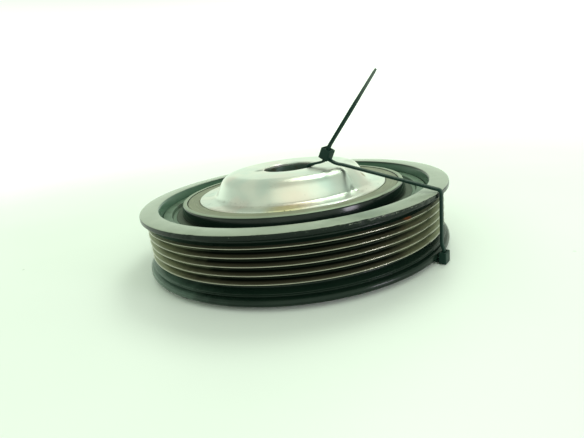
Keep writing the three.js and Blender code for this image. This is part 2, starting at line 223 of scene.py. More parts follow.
class Shader:
    """A procedural material. Its patterns are laid out in millimetres on the piece itself.

    x, y, z and radius are a point's place, and height is measured from the pulley's front face.
    """

    def __init__(self, name, **constants):
        self.material = bpy.data.materials.new(name)
        self.material.use_nodes = True
        self.tree = self.material.node_tree
        self.surface = self.tree.nodes["Principled BSDF"]
        for socket, value in constants.items():
            self.surface.inputs[socket.replace("_", " ")].default_value = value
        place = self.add("ShaderNodeTexCoord").outputs["Object"]
        self.place = self.vector("SCALE", place, scale=1 / MM)
        self.x, self.y, self.z = self.split(self.place)
        self.height = self.math("SUBTRACT", self.z, FRONT)
        self.flat = self.vector("MULTIPLY", self.place, (1, 1, 0))
        self.radius = self.vector("LENGTH", self.flat)
        self.round = self.vector("NORMALIZE", self.flat)

    def add(self, kind, **settings):
        node = self.tree.nodes.new(kind)
        for key, value in settings.items():
            setattr(node, key, value)
        return node

    def feed(self, socket, value):
        if isinstance(value, bpy.types.NodeSocket):
            self.tree.links.new(value, socket)
        elif value is not None:
            socket.default_value = value

    def vector(self, operation, a, b=None, scale=None):
        node = self.add("ShaderNodeVectorMath", operation=operation)
        self.feed(node.inputs[0], a)
        self.feed(node.inputs[1], b)
        if scale is not None:
            self.feed(node.inputs["Scale"], scale)
        return node.outputs["Value" if operation == "LENGTH" else "Vector"]

    def split(self, vector):
        node = self.add("ShaderNodeSeparateXYZ")
        self.feed(node.inputs[0], vector)
        return node.outputs[0], node.outputs[1], node.outputs[2]

    def math(self, operation, a, b=None):
        node = self.add("ShaderNodeMath", operation=operation)
        self.feed(node.inputs[0], a)
        self.feed(node.inputs[1], b)
        return node.outputs[0]

    def band(self, value, low, high, start=0.0, end=1.0):
        """start below low and end above high, with a smooth step between them."""
        node = self.add("ShaderNodeMapRange", interpolation_type="SMOOTHSTEP")
        for socket, given in zip(node.inputs[:5], (value, low, high, start, end)):
            self.feed(socket, given)
        return node.outputs[0]

    def within(self, value, low, high, edge):
        """1 between low and high, 0 outside, with soft edges."""
        inside = self.band(value, low - edge, low + edge)
        return self.math("MULTIPLY", inside, self.band(value, high - edge, high + edge, 1, 0))

    def noise(self, size, detail=4, roughness=0.55, place=None):
        """A 0 to 1 noise with features of about size mm."""
        node = self.add("ShaderNodeTexNoise")
        self.feed(node.inputs["Vector"], self.place if place is None else place)
        node.inputs["Scale"].default_value = 1 / size
        node.inputs["Detail"].default_value = detail
        node.inputs["Roughness"].default_value = roughness
        return node.outputs["Fac"]

    def turning(self, along=9, across=0.25, detail=3):
        """Streaks that run round the axis, as a lathe or a sliding belt leaves them."""
        slow = self.vector("SCALE", self.round, scale=float(along))
        node = self.add("ShaderNodeCombineXYZ")
        self.feed(node.inputs[0], self.radius)
        self.feed(node.inputs[1], self.z)
        fine = self.vector("SCALE", node.outputs[0], scale=1 / across)
        return self.noise(1, detail, 0.6, self.vector("ADD", slow, fine))

    def spots(self, size, low, high):
        """Scattered specks of about size mm: 1 in a speck."""
        node = self.add("ShaderNodeTexVoronoi")
        self.feed(node.inputs["Vector"], self.place)
        node.inputs["Scale"].default_value = 1 / size
        return self.band(node.outputs["Distance"], low, high, 1, 0)

    def spot(self, centre, size, softness=0.5):
        """1 inside a ragged spot round a centre in mm above the floor."""
        away = self.vector("LENGTH", self.vector("SUBTRACT", self.place, centre))
        ragged = self.math("ADD", away, self.math("MULTIPLY", self.noise(1.4), size * 0.8))
        return self.band(ragged, size * (1.4 - softness), size * (1.4 + softness), 1, 0)

    def mix(self, amount, a, b):
        node = self.add("ShaderNodeMix", data_type="RGBA")
        self.feed(node.inputs[0], amount)
        for socket, colour in ((node.inputs[6], a), (node.inputs[7], b)):
            self.feed(socket, (*colour, 1) if isinstance(colour, tuple) else colour)
        return node.outputs[2]

    def blend(self, amount, a, b):
        """A number between a and b."""
        node = self.add("ShaderNodeMapRange")
        for socket, given in zip(node.inputs[:5], (amount, 0.0, 1.0, a, b)):
            self.feed(socket, given)
        return node.outputs[0]

    def share(self, value, part):
        return self.math("MULTIPLY", value, part)

    def both(self, a, b):
        return self.math("MULTIPLY", a, b)

    def either(self, a, b):
        return self.math("MAXIMUM", a, b)

    def finish(self, colour, roughness, height=None, depth=0.02, metallic=None):
        """Wires the surface. height is a 0 to 1 relief, depth mm deep."""
        self.feed(self.surface.inputs["Base Color"], colour)
        self.feed(self.surface.inputs["Roughness"], roughness)
        self.feed(self.surface.inputs["Metallic"], metallic)
        if height is not None:
            bump = self.add("ShaderNodeBump")
            bump.inputs["Distance"].default_value = depth * MM
            self.feed(bump.inputs["Height"], height)
            self.feed(self.surface.inputs["Normal"], bump.outputs[0])
        return self.material


# ---- Materials -------------------------------------------------------------------------------

PITCH = 3.56  # of the belt's ribs
CREST = 74.5
ROOT = 71.7
GROOVES = 6
FIRST_GROOVE = -4.31
BELT_TOP = -5.5  # the belt has worn the face between these heights
BELT_END = -20.7
RECESS = 67.7  # the front flange's inner radius


def groove_film(s, streaks, limb_sheen):
    """Brown film on the groove walls, black at the roots, and a painted olive sheen for grazing reflections
    towards the pulley's left and right limbs.
    """
    film = s.mix(streaks, (0.05, 0.045, 0.028), (0.11, 0.095, 0.065))
    film = s.mix(s.band(s.radius, ROOT + 0.5, ROOT + 1.9), (0.004, 0.007, 0.004), film)
    # painted sheen: the film turns a lighter olive towards the limbs to stand in for grazing reflections,
    # and a darker olive at the roots
    film = s.mix(limb_sheen, film, s.mix(streaks, (0.16, 0.17, 0.095), (0.33, 0.335, 0.21)))
    return s.mix(s.band(s.radius, ROOT, ROOT + 1.3), s.mix(limb_sheen, film, (0.06, 0.075, 0.04)), film)


def flange_coat(s, patches, limb_sheen):
    """Black-green coat: a painted haze of reflected light on the left, greener in the recess, and on the
    face a painted grey reflection of the bright surroundings, with a smear.
    """
    coat = s.mix(patches, (0.003, 0.009, 0.006), (0.008, 0.016, 0.011))
    # painted sheen: a lighter coat on the left limb stands in for reflected light
    coat = s.mix(s.both(limb_sheen, s.band(s.x, 0, -10)), coat, (0.08, 0.125, 0.1))
    inside = s.both(s.band(s.radius, RECESS + 0.3, RECESS - 0.3), s.band(s.height, -4.4, -4))
    coat = s.mix(inside, coat, s.mix(patches, (0.035, 0.085, 0.055), (0.08, 0.15, 0.1)))
    # painted reflection: the front face is greyed for the bright surroundings it reflects; the smear is a
    # real mark
    face = s.both(s.band(s.height, -0.35, -0.1), s.band(s.radius, RECESS + 0.1, RECESS + 0.9))
    coat = s.mix(face, coat, s.mix(patches, (0.23, 0.25, 0.205), (0.33, 0.35, 0.29)))
    smear = s.both(face, s.spot((26, -66, FRONT), 7, 0.9))
    return s.mix(s.share(smear, 0.5), coat, (0.06, 0.1, 0.07))


def edge_chips(s):
    """Chips on the front flange's edge, most of them at the front right."""
    edge = s.both(s.band(s.radius, RIM - 0.4, RIM - 0.15), s.within(s.height, -1.1, 0.4, 0.3))
    worn = s.spot((38, -66, FRONT), 26, 0.5)
    return s.both(edge, s.band(s.noise(0.5, 6, 0.7), s.blend(worn, 0.61, 0.53), s.blend(worn, 0.67, 0.6)))


def pulley_coat():
    """Black-green coat, chipped on the edge and worn to bare steel on the rib crests."""
    s = Shader("worn_pulley_coat", Specular_IOR_Level=0.18)
    grain = s.noise(0.6, 5)
    patches = s.noise(9, 5)
    streaks = s.turning(10, 0.35)
    # a mask of painted sheen towards both limbs, where grazing reflections lighten the pulley
    limb_sheen = s.band(s.math("ADD", s.math("ABSOLUTE", s.x), s.share(patches, 30)), 45, 85)
    belt = s.both(s.within(s.height, BELT_END, BELT_TOP, 0.2), s.band(s.radius, ROOT - 0.7, ROOT - 0.5))
    crest = s.both(belt, s.band(s.radius, CREST - 0.5, CREST - 0.2))
    chips = edge_chips(s)
    scuffs = s.both(s.band(s.noise(2.2, 8, 0.7), 0.62, 0.7), s.band(s.height, -0.6, -0.1))
    rim = s.both(s.within(s.height, -2.6, -0.25, 0.1), s.band(s.radius, RIM - 1, RIM - 0.7))
    rust = s.both(belt, s.spot((41.7, -59.6, FRONT - 4.4), 2.2))
    colour = s.mix(belt, flange_coat(s, patches, limb_sheen), groove_film(s, streaks, limb_sheen))
    colour = s.mix(crest, colour, s.mix(patches, (0.27, 0.26, 0.21), (0.45, 0.43, 0.36)))
    colour = s.mix(s.either(chips, s.share(scuffs, 0.3)), colour, (0.2, 0.21, 0.17))
    colour = s.mix(s.both(rim, s.math("SUBTRACT", 1.0, chips)), colour, (0.002, 0.006, 0.004))
    colour = s.mix(rust, colour, (0.42, 0.1, 0.03))
    metal = s.either(s.share(belt, 0.75), s.either(crest, s.share(chips, 0.3)))
    rough = s.blend(grain, 0.14, 0.3)
    rough = s.blend(belt, rough, s.blend(streaks, 0.3, 0.55))
    rough = s.blend(crest, rough, 0.22)
    relief = s.math("ADD", s.share(streaks, 0.6), s.share(grain, 0.4))
    return s.finish(colour, rough, relief, 0.03, metal)


def rotor_steel():
    """Dull machined steel with turning marks and an oily film, and painted shade towards the front, where
    the front flange shades the recess.
    """
    s = Shader("machined_rotor_steel", Metallic=0.3)
    streaks = s.turning(8, 0.3)
    stains = s.noise(11, 6)
    colour = s.mix(streaks, (0.055, 0.1, 0.065), (0.13, 0.2, 0.135))
    # painted shade: darker towards the front, where the front flange shades the recess
    colour = s.mix(s.band(s.y, -20, -45), colour, (0.025, 0.04, 0.028))
    colour = s.mix(s.band(stains, 0.5, 0.7), colour, (0.03, 0.035, 0.022))
    rust = s.both(s.band(s.noise(4, 8, 0.7), 0.6, 0.7), s.band(stains, 0.4, 0.6))
    colour = s.mix(s.share(rust, 0.6), colour, (0.25, 0.1, 0.04))
    return s.finish(colour, s.blend(stains, 0.3, 0.6), streaks, 0.02)


def friction_compound():
    """Pressed friction compound, polished by the armature, with bright metal flecks."""
    s = Shader("friction_compound")
    streaks = s.turning(6, 0.5)
    flecks = s.spots(0.7, 0.12, 0.2)
    colour = s.mix(streaks, (0.035, 0.05, 0.033), (0.08, 0.1, 0.068))
    colour = s.mix(s.share(flecks, 0.4), colour, (0.4, 0.34, 0.24))
    return s.finish(colour, s.blend(streaks, 0.5, 0.8), s.either(streaks, flecks), 0.04)


def bearing_steel():
    """Ground bearing steel with a trace of grease."""
    s = Shader("ground_bearing_steel", Metallic=1.0)
    streaks = s.turning(7, 0.15)
    grease = s.noise(6, 4)
    colour = s.mix(streaks, (0.55, 0.56, 0.55), (0.72, 0.73, 0.72))
    colour = s.mix(s.band(grease, 0.55, 0.7), colour, (0.42, 0.38, 0.26))
    return s.finish(colour, s.blend(grease, 0.14, 0.34), streaks, 0.008)


def moulded_plastic(name, dark, light):
    """Moulded plastic with a faint grain and flow marks."""
    s = Shader(name)
    grain = s.noise(0.25, 3)
    flow = s.noise(7, 4)
    return s.finish(s.mix(flow, dark, light), s.blend(grain, 0.42, 0.62), grain, 0.02)


def seal_rubber():
    """Black seal rubber with dust in its pores."""
    s = Shader("seal_rubber")
    pores = s.noise(0.4, 5)
    dust = s.noise(5, 5)
    colour = s.mix(s.band(dust, 0.45, 0.75), (0.016, 0.017, 0.016), (0.09, 0.085, 0.07))
    return s.finish(colour, s.blend(dust, 0.5, 0.8), pores, 0.03)


def coil_steel():
    """Phosphated pressed steel with rust bloom and scratches."""
    s = Shader("phosphated_coil_steel", Metallic=0.8)
    bloom = s.noise(8, 7, 0.65)
    fine = s.noise(0.8, 5)
    scratches = s.band(s.noise(1.2, 2, 0.5, s.vector("MULTIPLY", s.place, (0.15, 4, 1))), 0.62, 0.66)
    colour = s.mix(bloom, (0.16, 0.165, 0.15), (0.34, 0.34, 0.3))
    colour = s.mix(s.band(s.both(bloom, fine), 0.33, 0.42), colour, (0.28, 0.13, 0.05))
    colour = s.mix(s.share(scratches, 0.5), colour, (0.6, 0.6, 0.57))
    return s.finish(colour, s.blend(fine, 0.35, 0.62), s.math("ADD", fine, scratches), 0.03)


def copper_wire():
    """Enamelled copper wire."""
    s = Shader("enamelled_wire", Metallic=0.9, Coat_Weight=0.5)
    shade = s.noise(3, 4)
    colour = s.mix(shade, (0.35, 0.12, 0.04), (0.6, 0.24, 0.09))
    return s.finish(colour, s.blend(shade, 0.2, 0.35), shade, 0.01)


def cast_resin():
    """Glossy cast resin with shallow waves."""
    s = Shader("cast_resin", Coat_Weight=0.4)
    waves = s.noise(5, 3)
    colour = s.mix(waves, (0.008, 0.012, 0.013), (0.03, 0.04, 0.04))
    return s.finish(colour, s.blend(waves, 0.12, 0.3), waves, 0.1)


def zinc_plate():
    """Bright zinc plate: pink and teal tints, a yellow stain, and dark specks by the brim's edge."""
    s = Shader("bright_zinc_plate", Metallic=1.0)
    cloud = s.noise(13, 3, 0.4)
    tint = s.noise(19, 2, 0.4)
    fine = s.noise(0.5, 5)
    drawn = s.turning(4, 0.5)
    colour = s.mix(s.band(cloud, 0.35, 0.65), (0.6, 0.62, 0.59), (0.72, 0.7, 0.66))
    colour = s.mix(s.share(s.band(tint, 0.52, 0.68), 0.5), colour, (0.7, 0.56, 0.53))
    colour = s.mix(s.share(s.band(tint, 0.46, 0.3), 0.45), colour, (0.48, 0.6, 0.58))
    blush = s.spot((-2, -37.5, FRONT + 4), 8, 0.9)
    colour = s.mix(s.share(blush, 0.6), colour, (0.76, 0.6, 0.54))
    brim = s.band(s.radius, 40.5, 42)
    yellow = s.both(brim, s.spot((-4, -45.5, FRONT), 7, 0.8))
    colour = s.mix(s.share(yellow, 0.7), colour, (0.62, 0.52, 0.22))
    front = s.spot((4, -47, FRONT), 16, 0.7)
    grime = s.both(s.band(s.radius, BRIM - 1.6, BRIM - 0.2), s.band(s.noise(1.3, 6, 0.7), 0.56, 0.66))
    grime = s.both(grime, s.blend(front, 0.25, 1.0))
    specks = s.both(s.spots(4.5, 0.04, 0.09), s.band(s.noise(16), 0.48, 0.6))
    foot = s.both(s.within(s.height, -0.2, 1.2, 0.4), s.band(s.noise(3, 6), 0.55, 0.7))
    dirt = s.either(s.either(grime, specks), s.share(foot, 0.3))
    colour = s.mix(s.share(dirt, 0.75), colour, (0.1, 0.09, 0.06))
    tip = s.spot((-15.6, -1.9, FRONT + PLATEAU), 2.2, 0.6)
    colour = s.mix(s.share(tip, 0.85), colour, (0.05, 0.06, 0.045))
    rust = s.spot((35.2, -12.5, FRONT + 3.6), 1.5)
    colour = s.mix(s.share(rust, 0.8), colour, (0.26, 0.16, 0.08))
    rough = s.blend(fine, 0.2, 0.3)
    rough = s.blend(cloud, rough, s.math("ADD", rough, 0.12))
    rough = s.math("ADD", rough, s.share(dirt, 0.3))
    return s.finish(colour, rough, s.math("ADD", fine, drawn), 0.012)


def hub_steel():
    """Turned steel boss, its colour darkened as painted shade for the inside of the bore."""
    s = Shader("turned_hub_steel", Metallic=0.9)
    streaks = s.turning(6, 0.25)
    stain = s.noise(5, 6)
    # painted shade: the steel is kept very dark for the shade inside the bore
    colour = s.mix(streaks, (0.03, 0.05, 0.04), (0.085, 0.12, 0.1))
    colour = s.mix(s.band(stain, 0.5, 0.65), colour, (0.06, 0.05, 0.03))
    return s.finish(colour, s.blend(stain, 0.35, 0.6), streaks, 0.03)


def damper_rubber():
    """Weathered rubber with olive dust and scuffed rings."""
    s = Shader("weathered_damper_rubber")
    dust = s.noise(7, 6, 0.6)
    streaks = s.turning(5, 0.6)
    pores = s.noise(0.5, 5)
    colour = s.mix(dust, (0.1, 0.1, 0.065), (0.25, 0.25, 0.17))
    colour = s.mix(s.share(s.band(streaks, 0.5, 0.7), 0.5), colour, (0.34, 0.33, 0.24))
    return s.finish(colour, s.blend(dust, 0.4, 0.65), s.math("ADD", pores, streaks), 0.03)


def armature_coat():
    """Glossy black coat, with a painted grey reflection of the sky on the rim's top, and worn to bare steel
    on the back.
    """
    s = Shader("glossy_armature_coat", Specular_IOR_Level=0.26)
    haze = s.noise(6, 5)
    fine = s.noise(0.7, 5)
    # painted reflection: the rim's top is greyed in patches for the sky it reflects
    rim_top_sheen = s.both(s.band(s.height, -0.32, -0.14), s.band(s.noise(2.5, 7, 0.65), 0.05, 0.35))
    colour = s.mix(haze, (0.001, 0.005, 0.0035), (0.003, 0.008, 0.006))
    colour = s.mix(rim_top_sheen, colour, (0.27, 0.3, 0.23))
    worn_face = s.band(s.height, -5.0, -5.12)
    colour = s.mix(worn_face, colour, (0.36, 0.36, 0.34))
    rough = s.blend(rim_top_sheen, s.blend(fine, 0.1, 0.2), 0.42)
    metal = s.either(s.share(rim_top_sheen, 0.6), worn_face)
    return s.finish(colour, rough, s.math("ADD", haze, fine), 0.012, metal)


def tie_nylon():
    """Black nylon, slightly green, and paler towards the free tail's tip."""
    s = Shader("black_nylon", Specular_IOR_Level=0.12)
    grain = s.noise(0.3, 3)
    wear = s.noise(4, 5)
    colour = s.mix(wear, (0.003, 0.016, 0.012), (0.012, 0.034, 0.027))
    colour = s.mix(s.share(s.band(s.z, FRONT + 36, FRONT + 50), 0.7), colour, (0.13, 0.15, 0.14))
    return s.finish(colour, s.blend(grain, 0.32, 0.48), grain, 0.01)


# ---- Pulley side -----------------------------------------------------------------------------


def belt_outline():
    """The six grooves, from the front flange down, with flat worn crests and rounded roots."""
    corners = []
    for i in range(GROOVES):
        centre = FIRST_GROOVE - i * PITCH
        corners += [(ROOT, centre + 0.5, 0.45), (ROOT, centre - 0.5, 0.45)]
        if i < GROOVES - 1:
            crest = centre - PITCH / 2
            corners += [(CREST, crest + 0.14, 0.08), (CREST, crest - 0.14, 0.08)]
    return corners


def sheave_outline():
    """Front flange, belt face, two fine beads and rear flange."""
    return rounded([
        (66.72, -28.58, 0.4), (66.72, -4.4, 0.5), (RECESS, -0.7, 0.3), (RECESS + 0.5, 0, 0.3),
        (RIM - 0.4, 0, 0.25), (RIM, -0.5, 0.3), (RIM, -2.1, 0.3), (75.6, -2.45, 0.4), (74.5, -2.8, 0.3),
        *belt_outline(),
        (CREST, -23.45, 0.2), (75.2, -23.7, 0.12), (75.2, -23.95, 0.12), (74.7, -24.15, 0.1),
        (75.15, -24.4, 0.12), (75.15, -24.65, 0.12), (74.2, -24.9, 0.2), (74.1, -25.4, 0.3),
        (76.2, -25.8, 0.6), (RIM, -26.8, 0.9), (RIM, -27.9, 0.5), (76.1, -28.4, 0.4), (74.8, -28.58, 0.3),
    ], 3)


def dent_flange(radius, height, angle):
    """Nicks the front flange's rim, most of them on the side that faces the camera."""
    random = np.random.default_rng(7)
    at_edge = smooth_step(radius, RIM - 1.2, RIM - 0.1) * smooth_step(height, -2.6, -1.6)
    for _ in range(46):
        place = random.normal(-75, 26) * DEG if random.random() < 0.75 else random.uniform(0, TURN)
        width = random.uniform(0.3, 0.9) / RIM
        depth = random.uniform(0.06, 0.26)
        away = np.angle(np.exp(1j * (angle - place)))
        nick = np.exp(-((away / width) ** 2)) * at_edge * depth
        radius = radius - nick
        height = height - nick * 0.5 * smooth_step(height, -0.6, 0)
    return radius + ripple(angle, 3) * 0.02 * at_edge - 0.02 * at_edge, height


def make_sheave():
    return revolve("sheave", sheave_outline(), 512, dent_flange, 35)


def pole_slots(radius, width, count, bridge, low, high):
    """Cutters for the curved slots that part the magnetic poles."""
    sweep = TURN / count - bridge
    tools = []
    for i in range(count):
        start = i * TURN / count + bridge / 2
        outline = arc(radius + width / 2, start, start + sweep, 24)
        outline += arc(radius - width / 2, start + sweep, start, 24)
        tools.append(slab("slot_cutter", [outline], low, high, 0.01))
    return tools


def make_rotor():
    body = revolve("rotor_body", rounded([
        (24.9, -5.7, 0.3), (53.1, -5.7, 0.1), (53.1, -7.3, 0.1), (60.4, -7.3, 0.1), (60.4, -5.7, 0.1),
        (61.9, -5.7, 0.15), (62.35, -4.2, 0.2), (66.5, -4.2, 0.3), (66.5, -26, 0.4), (61.2, -26, 0.4),
        (61.2, -10, 1), (32.2, -10, 1), (32.2, -28.7, 0.4), (27.6, -28.7, 0.3), (27.6, -28.2, 0),
        (28.8, -28.2, 0), (28.8, -27, 0), (27.6, -27, 0), (27.6, -6.8, 0), (24.9, -6.8, 0.3),
    ]), 192)
    slots = pole_slots(38, 2.5, 6, 12 * DEG, -11, -4.7) + pole_slots(48.5, 2.5, 6, 10 * DEG, -11, -4.7)
    return combine(body, slots)


def make_lining():
    return revolve("friction_ring", rounded([
        (53.2, -7.2, 0.1), (60.3, -7.2, 0.1), (60.3, -5.72, 0.15), (53.2, -5.72, 0.15),
    ]), 192)


# ---- Bearing ---------------------------------------------------------------------------------

BEARING_MIDDLE = -16.9
BEARING_HALF = 10  # half its width
PITCH_RADIUS = 22.5


def raceway(side):
    """A bearing ring's two ball grooves; side is 1 for the outer ring and -1 for the inner."""
    points = []
    reach = math.acos(2.1 / 3.6)
    for row in (4.7, -4.7):
        for step in np.linspace(-reach, reach, 13):
            along = BEARING_MIDDLE + row - 3.6 * math.sin(step)
            points.append((PITCH_RADIUS + side * 3.6 * math.cos(step), along, 0))
    return points


def make_bearing_ring(name, side):
    wall = PITCH_RADIUS + side * 2.1
    plain = 27.5 if side > 0 else 17.5
    low, high = BEARING_MIDDLE - BEARING_HALF, BEARING_MIDDLE + BEARING_HALF
    corners = [(plain, low, 0.7), (plain, high, 0.7), (wall, high, 0.25), *raceway(side), (wall, low, 0.25)]
    return revolve(name, rounded(corners), 160)


def make_seal(name, end):
    """A shield with a stiffening bead and a lip by the inner ring."""
    middle = BEARING_MIDDLE + end * 9.5
    face = end * 0.3
    return revolve(name, rounded([
        (20.7, middle - face, 0.1), (24.5, middle - face, 0.1), (24.5, middle + face, 0.15),
        (23.2, middle + face, 0.15), (22.9, middle + face * 0.5, 0.2), (21.9, middle + face * 0.5, 0.2),
        (21.6, middle + face, 0.2), (20.7, middle + face, 0.2),
    ]), 128)


def make_circlip():
    gap, lug, outer, inner, deep = 12 * DEG, 9 * DEG, 28.5, 25.3, 22.7
    outline = arc(outer, gap, TURN - gap, 120)
    outline += arc(deep, TURN - gap, TURN - gap - lug, 8)
    outline += arc(inner, TURN - gap - lug, gap + lug, 110)
    outline += arc(deep, gap + lug, gap, 8)
    eyes = []
    for side in (-1, 1):
        angle = side * (gap + lug / 2)
        centre = (24.4 * math.cos(angle), 24.4 * math.sin(angle))
        eyes.append([(centre[0] + x, centre[1] + y) for x, y in arc(0.8, 0, TURN, 25)[:-1]])
    return slab("circlip", [outline, *eyes], -28.1, -27.1, 0.1)


# ---- Field coil ------------------------------------------------------------------------------

LEAD_REACH = 46
LEAD_ANGLE = 140.5 * DEG
TIE_ANGLE = -40.3 * DEG
COIL_BACK = -28.4


def make_coil_housing():
    shell = revolve("coil_shell", rounded([
        (33, COIL_BACK, 1.6), (60.6, COIL_BACK, 1.8), (60.6, -10.7, 0.4), (57.6, -10.7, 0.4),
        (57.6, COIL_BACK + 3, 1), (36, COIL_BACK + 3, 1), (36, -10.7, 0.4), (33, -10.7, 0.4),
    ]), 192)
    hole = revolve("lead_cutter", [(0.01, -30), (3.2, -30), (3.2, -24), (0.01, -24)], 48)
    return combine(shell, [moved(hole, LEAD_REACH, LEAD_ANGLE)])


def make_bobbin():
    low, high = COIL_BACK + 3.3, -12.4
    return revolve("bobbin", rounded([
        (36.3, low, 0.3), (57.3, low, 0.3), (57.3, low + 1.4, 0.3), (37.7, low + 1.4, 0.3),
        (37.7, high - 1.4, 0.3), (57.3, high - 1.4, 0.3), (57.3, high, 0.3), (36.3, high, 0.3),
    ]), 128)


def make_winding():
    """The coil's outermost layer of turns stands out as ridges."""
    low, high, outer, inner = COIL_BACK + 5, -14.1, 56.0, 38
    turns = 12
    wire = (high - low) / turns
    points = [(inner, low), (outer, low)]
    for i in range(turns):
        middle = low + (i + 0.5) * wire
        for a in np.linspace(-75, 75, 6) * DEG:
            points.append((outer + 0.42 * wire * math.cos(a), middle + 0.48 * wire * math.sin(a)))
    points += [(outer, high), (inner, high)]
    return revolve("winding", points, 128)


def make_resin():
    return revolve("resin_cap", rounded([
        (36.3, -12.2, 0.1), (57.3, -12.2, 0.1), (57.3, -11.2, 0.3), (47, -10.9, 1), (36.3, -11.2, 0.3),
    ]), 128)


def make_coil_plate():
    """Flat ring with a relief for the lead, one for the strap, and a locating hole."""
    inner, outer, half = 33, 59.5, 4
    outer_cut = math.asin(half / outer)
    inner_cut = math.asin(half / inner)
    lead_outer = math.asin(5.5 / outer)
    lead_low = (LEAD_REACH - 7, 5.5)
    outline = arc(outer, TIE_ANGLE + outer_cut, LEAD_ANGLE - lead_outer, 90)
    for x, y in ((lead_low[0], -lead_low[1]), lead_low):
        outline.append((x * math.cos(LEAD_ANGLE) - y * math.sin(LEAD_ANGLE),
                        x * math.sin(LEAD_ANGLE) + y * math.cos(LEAD_ANGLE)))
    outline += arc(outer, LEAD_ANGLE + lead_outer, TURN + TIE_ANGLE - outer_cut, 90)
    outline += arc(inner, TURN + TIE_ANGLE - inner_cut, TIE_ANGLE + inner_cut, 150)
    hole = [(x, y + 52) for x, y in arc(2.6, 0, TURN, 33)[:-1]]
    return slab("mounting_plate", [outline, hole], -FRONT + 0.002, COIL_BACK - 0.1, 0.2)


def make_grommet():
    body = revolve("lead_plug", rounded([
        (0.01, -29.55, 0), (4.4, -29.55, 0.5), (4.6, -28.5, 0.1), (3.1, -28.5, 0.1), (3.1, -25.4, 0.4),
        (0.01, -25.4, 0),
    ]), 64)
    wires = []
    for y in (-1.5, 1.5):
        hole = revolve("wire_cutter", [(0.001, -31), (0.9, -31), (0.9, -24), (0.001, -24)], 32)
        hole.data.transform(Matrix.Translation((0, y * MM, 0)))
        wires.append(hole)
    return moved(combine(body, wires), LEAD_REACH, LEAD_ANGLE)


# ---- Hub side --------------------------------------------------------------------------------

NOTCH_FROM = -49 * DEG
NOTCH_TO = 6 * DEG
NOTCH_FADE = 16 * DEG
CREASE_LEAN = 9 * DEG
CREASE_WIDTH = 3.2 * DEG
CREASE_DEPTH = 0.5
FOOT_OUT = 1.6  # how far the pressed wall's foot moves out, and its shoulder in
SHOULDER_IN = 3


def press_notch(radius, height, angle):
    """Lays the dome's wall over inside the notch, with a crisp crease at its left end."""
    turn = np.angle(np.exp(1j * angle))
    rise = np.clip(height / PLATEAU, 0, 1)
    start = NOTCH_FROM + rise * CREASE_LEAN
    inside = smooth_step(turn, start, start + CREASE_WIDTH)
    inside = inside * (1 - smooth_step(turn, NOTCH_TO - NOTCH_FADE, NOTCH_TO))
    valley = CREASE_DEPTH * np.exp(-(((turn - start - 3.5 * DEG) / (3 * DEG)) ** 2))
    on_wall = smooth_step(radius, 27.5, 31.5) * (1 - smooth_step(radius, 41, 44))
    shift = FOOT_OUT - (FOOT_OUT + SHOULDER_IN) * rise
    radius = radius + on_wall * (inside * shift - valley * np.sin(rise * math.pi))
    return radius, height


def press_dome(radius, height, angle):
    """The notch, and the slight waviness of pressed sheet."""
    radius, height = press_notch(radius, height, angle)
    waves = ripple(angle, 11, (2, 3, 5, 7))
    free = smooth_step(radius, 39, 42) * (1 - smooth_step(radius, 46, 47.5))
    wall = smooth_step(height, 0.5, 3) * (1 - smooth_step(height, 8, 10))
    return radius + waves * 0.12 * wall, height + waves * 0.05 * free


def make_dome():
    edge = BRIM - 0.02
    top = PLATEAU - 0.02
    return revolve("dome", rounded([
        (edge - 0.05, 0, 0.7), (edge, -1.5, 0.4), (40.4, -1.5, 1.2), (38.0, -0.5, 1.5), (33.6, 7.0, 1.5),
        (31.4, 8.6, 1.5), (13.42, 8.6, 0.1), (13.42, top - 0.2, 0.3), (14.0, top, 0.4), (22, top, 1),
        (31.0, top - 0.1, 2.4), (34.9, top - 2.0, 2.4), (38.6, 1.9, 1.4), (39.6, 0.45, 0.8),
        (41.0, 0.05, 1.2), (44.0, 0.02, 1), (46.4, -0.05, 0.6),
    ], 6), 384, press_dome, 50)


def make_boss():
    """The splined boss: a bolt well above, and 22 teeth below."""
    floor = -1.5

    def spline(radius, height, angle):
        tooth = (angle * 22 / TURN) % 1
        root = smooth_step(tooth, 0.52, 0.6) * (1 - smooth_step(tooth, 0.9, 0.98))
        bore = (radius < 8) * 1.0
        return radius + bore * (6.2 + 0.8 * (1 - root) - radius), height

    return revolve("boss", rounded([
        (13, floor, 0.6), (13, 8.5, 0.3), (20, 8.5, 0.2), (20, 5.9, 0.3), (15.6, 4.9, 1), (15.6, -8.8, 0.6),
        (7.5, -8.8, 0), (7, -8.4, 0), (7, -1.9, 0), (7.9, floor, 0),
    ]), 22 * 16, spline)


def make_damper():
    outline = rounded([
        (41.6, -2.5, 0.3), (53.88, -2.5, 0.3), (53.88, -0.4, 0.3), (51.5, -0.7, 1), (48.1, -0.45, 0.3),
        (48.1, -1.6, 0.2), (41.6, -1.6, 0.3),
    ])
    return revolve("rubber_ring", outline, 256, lambda r, z, a: (r, z + 0.06 * ripple(a, 5) * (z > -1.2)))


def make_armature():
    edge = ARMATURE - 0.02
    body = revolve("armature", rounded([
        (30, -5.2, 0.4), (edge, -5.2, 0.3), (edge, -4.6, 0.4), (edge - 0.95, -0.5, 0.4),
        (edge - 1.5, 0, 0.5), (54.2, -0.02, 0.5), (53.95, -2.6, 0.3), (30, -2.6, 0.4),
    ]), 320)
    return combine(body, pole_slots(43.2, 2.5, 3, 20 * DEG, -6.2, -1.6))


# ---- Cable ties ------------------------------------------------------------------------------

